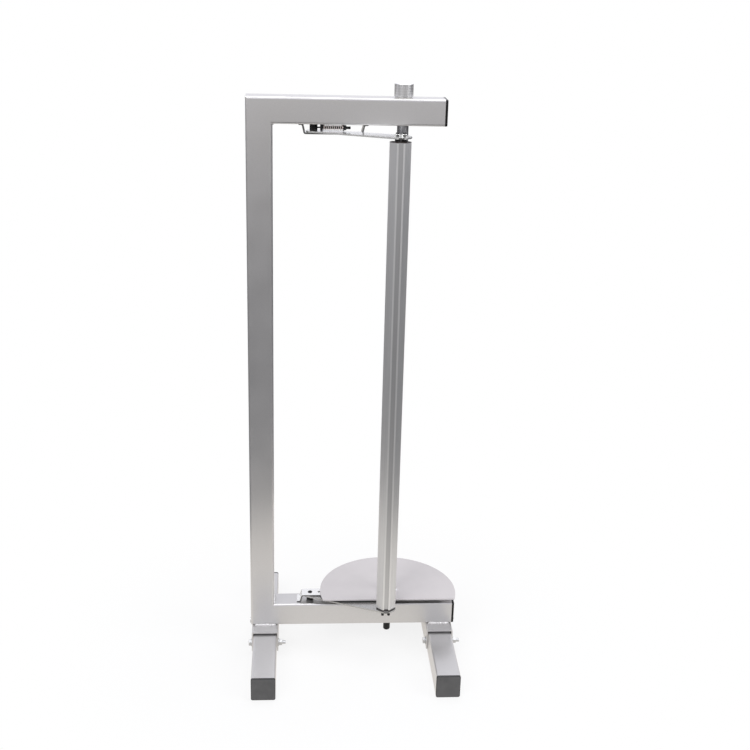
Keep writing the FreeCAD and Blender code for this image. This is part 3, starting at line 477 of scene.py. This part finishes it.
def bar_masks(tree, place, low, high):
    """Three masks on a bar with the corners low and high: 1 on its ridges, 1 in the groove
    between them, and 1 away from the painted shade at its ends."""
    middle, half_height = (low + high) / 2, (high.z - low.z) / 2
    spot = add(tree, "SeparateXYZ", {"Vector": place}).node.outputs
    shifted = add(tree, "Math", {0: spot["X"], 1: middle.x}, operation="SUBTRACT")
    aside = add(tree, "Math", {0: shifted}, operation="ABSOLUTE")
    past_ridge = add(tree, "Math", {0: aside, 1: RIDGE_OFFSET}, operation="SUBTRACT")
    from_ridge = add(tree, "Math", {0: past_ridge}, operation="ABSOLUTE")
    depth = add(tree, "Math", {0: spot["Y"], 1: low.y}, operation="SUBTRACT")
    at_front = add(tree, "MapRange", below(depth, FRONT_SKIN, FRONT_SKIN))
    near_ridge = add(tree, "MapRange", below(from_ridge, RIDGE_HALF, RIDGE_EDGE))
    on_ridge = add(tree, "Math", {0: near_ridge, 1: at_front}, operation="MULTIPLY")
    further = add(tree, "Math", {0: aside, 1: depth}, operation="MAXIMUM")
    in_groove = add(tree, "MapRange", below(further, RIDGE_OFFSET - RIDGE_HALF, RIDGE_EDGE))
    lifted = add(tree, "Math", {0: spot["Z"], 1: middle.z}, operation="SUBTRACT")
    from_middle = add(tree, "Math", {0: lifted}, operation="ABSOLUTE")
    clear_of_end_shade = add(tree, "MapRange", below(from_middle, half_height - END_SHADE_LENGTH, END_SHADE_EDGE))
    return on_ridge, in_groove, clear_of_end_shade


bar_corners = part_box("press_bar")
print(f"the bar is {(bar_corners[1].z - bar_corners[0].z) / MM:.1f} mm long")

# %% Mix the anodised aluminium
ALONG_BAR = 0.004  # the noise is squeezed by this along the bar, so it comes out 250 times as long


def anodised_extrusion():
    """Die lines set shade, gloss and relief. Masks paint ridge highlights, groove and end shade.
    """
    material, tree, shader, place = start_finish("anodised aluminium", Metallic=0.9)
    squeezed = add(tree, "Mapping", {"Vector": place, "Scale": (1.0, 1.0, ALONG_BAR)})
    die = add(tree, "TexNoise", {"Vector": squeezed, "Scale": per_mm(1.2), "Detail": 2.0})
    streak = add(tree, "MapRange", stretched(die, 0.1, 0.9))
    skin_tone = add(tree, "Mix", shades(streak, "#D5D5D5", "#E0E0DF"), data_type="RGBA")
    on_ridge, in_groove, clear_of_end_shade = bar_masks(tree, place, *bar_corners)
    # Painted highlight on the ridges, painted shade in the groove and at both ends.
    ridge_highlight = add(tree, "Mix", shades(on_ridge, skin_tone, "#E2E2E1"), data_type="RGBA")
    groove_shade = add(tree, "Mix", shades(in_groove, ridge_highlight, "#C2C2C2"), data_type="RGBA")
    with_end_shade = add(tree, "Mix", shades(clear_of_end_shade, "#4A4443", groove_shade), data_type="RGBA")
    rough = add(tree, "MapRange", stretched(die, 0.38, 0.44))
    end_finish(shader, with_end_shade, rough, die, strength=0.12, depth=RELIEF)
    return material


FINISHES["anodised_aluminium"] = anodised_extrusion()
print("mixed", FINISHES["anodised_aluminium"].name)

# %% [markdown]
# ### Turned and ground metal
# The knob was cut on a lathe and the spindle ground between wheels. Both leave rings round the
# axis: feed lines on the knob, fainter ones on the spindle. A wave along Z draws rings on the
# side. On the knob's flat top the rings are circles, so a second wave follows the distance from
# the axis. The real feed of 0.1 mm is far too fine to show, so the rings are drawn about 5 mm
# apart on the knob and 7.5 mm apart on the spindle. The top and the highest 1.4 mm of the side
# are painted near white, a painted highlight where they face the sky.

# %% Mix the lathe finishes
TOP_HIGHLIGHT_BAND, TOP_HIGHLIGHT_EDGE = 1.4 * MM, 0.3 * MM
RING_GLOSS = 0.08
WAVE_RINGS = 20 / (2 * np.pi)  # a Wave texture of scale 1 has this many rings to the metre


def turned_metal(name, node, dark, light, rough, ring_mm):
    """Rings round the node's axis set shade, gloss and relief. The top gets a painted highlight.
    """
    material, tree, shader, place = start_finish(name, Metallic=1.0)
    low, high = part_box(node)
    axis = (-(low.x + high.x) / 2, -(low.y + high.y) / 2, 0.0)
    centred = add(tree, "Mapping", {"Vector": place, "Location": axis})
    scale = per_mm(ring_mm) / WAVE_RINGS
    feed = {"Vector": centred, "Scale": scale, "Distortion": 0.1, "Detail Scale": 3.0}
    side = add(tree, "TexWave", feed, bands_direction="Z").node.outputs["Fac"]
    top = add(tree, "TexWave", feed, wave_type="RINGS", rings_direction="Z").node.outputs["Fac"]
    both = add(tree, "Math", {0: side, 1: top}, operation="ADD")
    rings = add(tree, "Math", {0: both, 1: 0.5}, operation="MULTIPLY")
    height = add(tree, "SeparateXYZ", {"Vector": place}).node.outputs["Z"]
    body = add(tree, "MapRange", below(height, high.z - TOP_HIGHLIGHT_BAND, TOP_HIGHLIGHT_EDGE))
    turned = add(tree, "Mix", shades(rings, dark, light), data_type="RGBA")
    # Near white on the top is a painted highlight.
    with_top_highlight = add(tree, "Mix", shades(body, "#FAFAFA", turned), data_type="RGBA")
    gloss = add(tree, "MapRange", stretched(rings, rough, rough + RING_GLOSS))
    end_finish(shader, with_top_highlight, gloss, rings, strength=0.05, depth=RELIEF)
    return material


ROUND_PIECES = {
    "turned_aluminium": ("turned aluminium", "spindle_knob", "#C0C0C0", "#CECECE", 0.28, 5.027),
    "ground_steel": ("ground steel bar", "spindle_rod", "#909092", "#959597", 0.32, 7.54),
}
for slot, recipe in ROUND_PIECES.items():
    FINISHES[slot] = turned_metal(*recipe)
    print("mixed", FINISHES[slot].name)

# %% [markdown]
# ### Plated and blackened steel
# The upper lever and the straps are bright zinc plate. It is nearly a mirror, so it looks white
# where it faces the studio, and a little cloudy where the bath left patches a few millimetres
# wide. The faces that look to the front and back are painted a dull grey, a painted shade on
# their edges. The lower lever is painted a darker grey all over, a painted shade under the
# plate. The foot bolts came from a duller bath. The pivots, studs and spring gear are chemically
# blackened, which keeps a dull oily shine, and the spring is plated wire. The five differ only in
# shade, gloss and the size of their patches, so one function mixes them all.

# %% Mix the steel finishes
SCRATCH_MM = 0.9
PATCH_GLOSS = 0.05
EDGE_SOFT = 0.02
# Faces square to a piece's front and back get this dark grey, a painted shade.
STEEL_EDGE_SHADE, STEEL_EDGE_FACING = "#6C6C6C", 0.96


def facing_y(tree):
    """How squarely the surface faces the piece's own front or back: 1 square on, 0 edge on."""
    normal = add(tree, "TexCoord").node.outputs["Normal"]
    across = add(tree, "SeparateXYZ", {"Vector": normal}).node.outputs["Y"]
    return add(tree, "Math", {0: across}, operation="ABSOLUTE")


def plated_steel(name, dark, light, rough, patch_mm, metallic=1.0, scratches=0.02, edge_shade=None):
    """Patches of the bath set shade and gloss, and fine scratches the relief."""
    material, tree, shader, place = start_finish(name, Metallic=metallic)
    patch = add(tree, "TexNoise", {"Vector": place, "Scale": per_mm(patch_mm), "Detail": 3.0})
    scratch = add(tree, "TexNoise", {"Vector": place, "Scale": per_mm(SCRATCH_MM), "Detail": 2.0})
    cloud = add(tree, "MapRange", stretched(patch, 0.0, 1.0))
    plate = add(tree, "Mix", shades(cloud, dark, light), data_type="RGBA")
    if edge_shade:
        # Dark grey on faces square to front and back is painted shade.
        unshaded_face = add(tree, "MapRange", below(facing_y(tree), STEEL_EDGE_FACING, EDGE_SOFT))
        plate = add(tree, "Mix", shades(unshaded_face, edge_shade, plate), data_type="RGBA")
    gloss = add(tree, "MapRange", stretched(patch, rough, rough + PATCH_GLOSS))
    end_finish(shader, plate, gloss, scratch, strength=scratches, depth=RELIEF)
    return material


BRIGHT = {"metallic": 0.75, "scratches": 0.003, "edge_shade": STEEL_EDGE_SHADE}
STEELS = {
    "zinc_steel": plated_steel("bright zinc plate", "#EEEFEE", "#F6F6F4", 0.18, 5.0, **BRIGHT),
    # The lower lever's darker zinc is painted shade under the plate.
    "shaded_zinc": plated_steel("zinc plate in painted shade", "#A9A8A6", "#BBBAB8", 0.22, 5.0, **BRIGHT),
    "dull_zinc": plated_steel("dull zinc plate", "#BEBFC0", "#CACBCB", 0.4, 4.0),
    "dark_steel": plated_steel("black oxide steel", "#161617", "#202021", 0.38, 4.0, metallic=0.5),
    "spring_steel": plated_steel("plated spring wire", "#CFC2BC", "#DDD2CC", 0.26, 3.0),
}
FINISHES.update(STEELS)
print("mixed", [finish.name for finish in STEELS.values()])

# %% [markdown]
# ### Moulded plastic
# The caps are moulded polyethylene and the bush is nylon. A mould is spark-eroded to a fine
# grain, which gives a dull sheen and hides sink marks. One function makes all three, from two
# near shades and a grain of about 0.6 mm, drawn a little coarser so that it shows. The black
# caps come from a polished mould: they are smooth, and mirror the sky where they are seen flat.
# Their index is set a little under polyethylene's 1.51, which keeps them a deep black. The
# feet's caps are painted darker on every face but their ends, a painted shade round their edges.

# %% Mix the plastics
GRAIN_MM, SHADE_MM = 1.0, 18
GRAIN_GLOSS = 0.12
# Every face of a foot cap but its ends gets this dark grey, a painted shade.
CAP_SIDE_SHADE, CAP_SIDE_FACING = "#2C2C2C", 0.94


def moulded_plastic(name, dark, light, rough, grain_depth=0.25, edge=None, ior=1.51):
    """Slow clouds set the shade, and the mould's grain sets gloss and relief."""
    material, tree, shader, place = start_finish(name, IOR=ior)
    grain = add(tree, "TexNoise", {"Vector": place, "Scale": per_mm(GRAIN_MM), "Detail": 2.0})
    cloud = add(tree, "TexNoise", {"Vector": place, "Scale": per_mm(SHADE_MM), "Detail": 2.0})
    shade = add(tree, "MapRange", stretched(cloud, 0.0, 1.0))
    plastic = add(tree, "Mix", shades(shade, dark, light), data_type="RGBA")
    if edge:
        shaded_side = add(tree, "MapRange", below(facing_y(tree), CAP_SIDE_FACING, EDGE_SOFT))
        plastic = add(tree, "Mix", shades(shaded_side, plastic, edge), data_type="RGBA")
    gloss = add(tree, "MapRange", stretched(grain, rough, rough + GRAIN_GLOSS))
    end_finish(shader, plastic, gloss, grain, strength=grain_depth, depth=2 * RELIEF)
    return material


PLASTICS = {
    "black_plastic": moulded_plastic(
        "black polyethylene", "#0A0A0B", "#0F0F10", 0.2, grain_depth=0.04, ior=1.36
    ),
    "grey_plastic": moulded_plastic(
        "dark grey polyethylene", "#4D4D4D", "#575757", 0.5, edge=CAP_SIDE_SHADE
    ),
    "white_nylon": moulded_plastic("white nylon", "#E2E1DC", "#EBEAE6", 0.38),
}
FINISHES.update(PLASTICS)
print("mixed", [finish.name for finish in PLASTICS.values()])

# %% [markdown]
# ### Which piece has which finish
# Each finish is made once and put into the material slot of every piece that has it. The names
# are the slots of the record, so that a piece and its record agree. Only the lower lever's
# shaded_zinc has no slot of its own there: it is zinc_steel painted darker, a painted shade.

# %% Give every piece its finish
PIECES = {
    "silver_paint": [
        "post_tube", "upper_arm_tube", "lower_arm_tube", "left_foot_sleeve", "right_foot_sleeve",
        "left_foot_tube", "right_foot_tube",
    ],
    "plate_paint": ["roll_plate"],
    "anodised_aluminium": ["press_bar"],
    "turned_aluminium": ["spindle_knob"],
    "ground_steel": ["spindle_rod"],
    "zinc_steel": [
        "upper_hinge_strap", "lower_hinge_strap", "upper_lever", "plate_screws", "pivot_nuts",
        "bar_nuts", "upper_pivot_bush", "lower_pivot_bush", "plate_collar",
    ],
    "shaded_zinc": ["lower_lever"],
    "dull_zinc": ["foot_bolts", "foot_washers", "foot_nuts"],
    "dark_steel": [
        "spring_tab", "spring_rod", "spring_washer", "spring_nut", "knob_set_screw",
        "upper_pivot_bolt", "lower_pivot_bolt", "bar_spacers", "bar_studs",
    ],
    "black_plastic": [
        "upper_arm_cap", "lower_arm_cap", "spindle_tip", "upper_lever_hub", "lower_lever_hub",
    ],
    "grey_plastic": [
        f"{foot}_foot_{end}_cap" for foot in ("left", "right") for end in ("front", "rear")
    ],
    "white_nylon": ["spindle_bush"],
}
for slot, nodes in PIECES.items():
    for node in nodes:
        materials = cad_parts[node].data.materials
        materials.clear()
        materials.append(FINISHES[slot])
for piece in beads:
    piece.data.materials.append(FINISHES["silver_paint"])
spring.data.materials.append(FINISHES["spring_steel"])
wire.data.materials.append(FINISHES["dark_steel"])
unpainted = set(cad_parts) - {node for nodes in PIECES.values() for node in nodes}
print("nodes left to other pieces:", sorted(unpainted))

# %% [markdown]
# ## The floor
# The stand was photographed on white. The floor is a pale sheet that takes the stand's soft
# shadow near the feet and fades to plain white further out. A brighter lamp would also make it
# white, but would burn out the paint. So the sheet glows instead, only for what looks at it
# straight or in a mirror. Metal sees it a little warmer than the camera does, as paper looks
# beside a cool sky.

# %% Lay the white floor
SHEET_RADIUS, SHEET_HEIGHT = 40.0, -0.3 * MM
SHADOW_INNER, SHADOW_OUTER = 0.3, 0.7
NEAR_GLOW = 0.82
ROUND = np.linspace(0, 2 * np.pi, 96, endpoint=False)


def flat_ring(name, inner, outer, z):
    """Two rounds at one height joined by quads. outer has one radius for every direction."""
    circle = np.stack([np.cos(ROUND), np.sin(ROUND), 0 * ROUND], axis=1)
    points = np.concatenate([circle * inner, circle * outer[:, None]]) + [0, 0, z]
    sides = len(ROUND)
    index = np.arange(sides)
    onward = np.roll(index, -1)
    quads = np.stack([index, index + sides, onward + sides, onward], axis=1)
    made = mesh_object(name, points, quads.tolist())
    return made


def seen_directly(tree):
    """1 for rays from the camera, from a mirror-like surface or through glass, otherwise 0."""
    rays = add(tree, "LightPath").node.outputs
    either = {0: rays["Is Camera Ray"], 1: rays["Is Glossy Ray"]}
    mirrored = add(tree, "Math", either, operation="MAXIMUM")
    return add(tree, "Math", {0: mirrored, 1: rays["Is Transmission Ray"]}, operation="MAXIMUM")


def white_to_camera(tree, mirrored):
    """White to the camera, and the colour mirrored to everything else."""
    straight = add(tree, "LightPath").node.outputs["Is Camera Ray"]
    return add(tree, "Mix", shades(straight, mirrored, "#FFFFFF"), data_type="RGBA")


def white_sheet():
    """Paper near the stand and a glow further out, but only for rays that see it directly."""
    material, tree = empty_material("white paper sheet")
    place = add(tree, "TexCoord").node.outputs["Object"]
    reach = add(tree, "VectorMath", {0: place}, operation="LENGTH")
    fade = {"Value": reach, "From Min": SHADOW_INNER, "From Max": SHADOW_OUTER}
    far = add(tree, "MapRange", fade | {"To Min": NEAR_GLOW}, interpolation_type="SMOOTHSTEP")
    share = add(tree, "Math", {0: far, 1: seen_directly(tree)}, operation="MULTIPLY")
    paper = add(tree, "BsdfDiffuse", {"Color": linear("#F4F4F4")})
    glow = add(tree, "Emission", {"Strength": 1.0, "Color": white_to_camera(tree, "#FFFAF3")})
    add(tree, "OutputMaterial", {"Surface": add(tree, "MixShader", {0: share, 1: paper, 2: glow})})
    return material


floor = flat_ring("floor_sheet", 0.0, np.full_like(ROUND, SHEET_RADIUS), SHEET_HEIGHT)
floor.data.materials.append(white_sheet())

# %% [markdown]
# ## What the metal mirrors
# Metal is only as good as what it mirrors, so, as in a real studio, a grey surround lies beyond
# the white sheet: it gives the upright tubes their darker middle and leaves them bright near the
# floor. A low grey card stands far to the right and shades the bar's right flank. Both are out
# of sight of the camera, and seen only in reflections.

# %% Lay the surround and stand the card
SURROUND_INNER, SURROUND_FRONT, SURROUND_SIDES, SURROUND_HEIGHT = 0.72, 8.5, 14.0, 0.5 * MM
FRONT_HALF_ANGLE, SIDE_ANGLE = np.radians([30, 55])
CARD_PLACE, CARD_HALF, CARD_HEIGHT = 6.0, 3.0, 1.15

from_front = np.arccos(-np.sin(ROUND))
sideways = np.clip((from_front - FRONT_HALF_ANGLE) / (SIDE_ANGLE - FRONT_HALF_ANGLE), 0, 1)
surround_reach = SURROUND_FRONT + (SURROUND_SIDES - SURROUND_FRONT) * sideways
surround = flat_ring("grey_surround", SURROUND_INNER, surround_reach, SURROUND_HEIGHT)
corners = np.array([(CARD_PLACE, y, z) for y, z in ((-1, 0), (-1, 1), (1, 1), (1, 0))], float)
right_card = mesh_object("right_card", corners * [1, CARD_HALF, CARD_HEIGHT], [(0, 1, 2, 3)])
card, tree = empty_material("grey card")
add(tree, "OutputMaterial", {"Surface": add(tree, "BsdfDiffuse", {"Color": linear("#757575")})})
for screen in (surround, right_card):
    screen.visible_camera = False
    screen.data.materials.append(card)

# %% [markdown]
# ## The light
# Two large soft boxes, one from the front left and one from the right, and a third overhead give
# a shadowless product light. The sky is white to the camera, faintly blue in mirrors, and a
# softer grey to everything else, so that pale paint doesn't burn out.

# %% Hang the lamps
SOFT_BOXES = {
    "front_left_box": ((-1.6, -2.2, 2.6), 2.0, 42.0),
    "right_box": ((2.2, -1.2, 2.0), 1.8, 24.0),
    "overhead_box": ((0.2, 0.4, 3.0), 2.0, 32.0),
}
AIM = np.array([0.0, 0.0, 0.55])
for name, (place, width, watts) in SOFT_BOXES.items():
    lamp = bpy.data.objects.new(name, bpy.data.lights.new(name, "AREA"))
    lamp.data.size = width
    lamp.data.energy = watts
    back = unit(np.array(place) - AIM)
    side = unit(np.cross([0, 1, 0], back))
    lamp.matrix_world = matrix_of([side, np.cross(back, side), back], place)
    into_scene(lamp)
print(len(SOFT_BOXES), "soft boxes")

# %% Paint the sky
SKY_FILL = 0.5
world = bpy.data.worlds.new("white studio")
world.use_nodes = True
tree = world.node_tree
tree.nodes.clear()
level = {"Value": seen_directly(tree), "To Min": SKY_FILL, "To Max": 1.0}
strength = add(tree, "MapRange", level)
sky = add(tree, "Background", {"Strength": strength, "Color": white_to_camera(tree, "#F8F8FF")})
add(tree, "OutputWorld", {"Surface": sky})
bpy.context.scene.world = world
bpy.context.scene.view_settings.view_transform = "Standard"
print("the sky lights paint at", SKY_FILL, "and shows at 1")
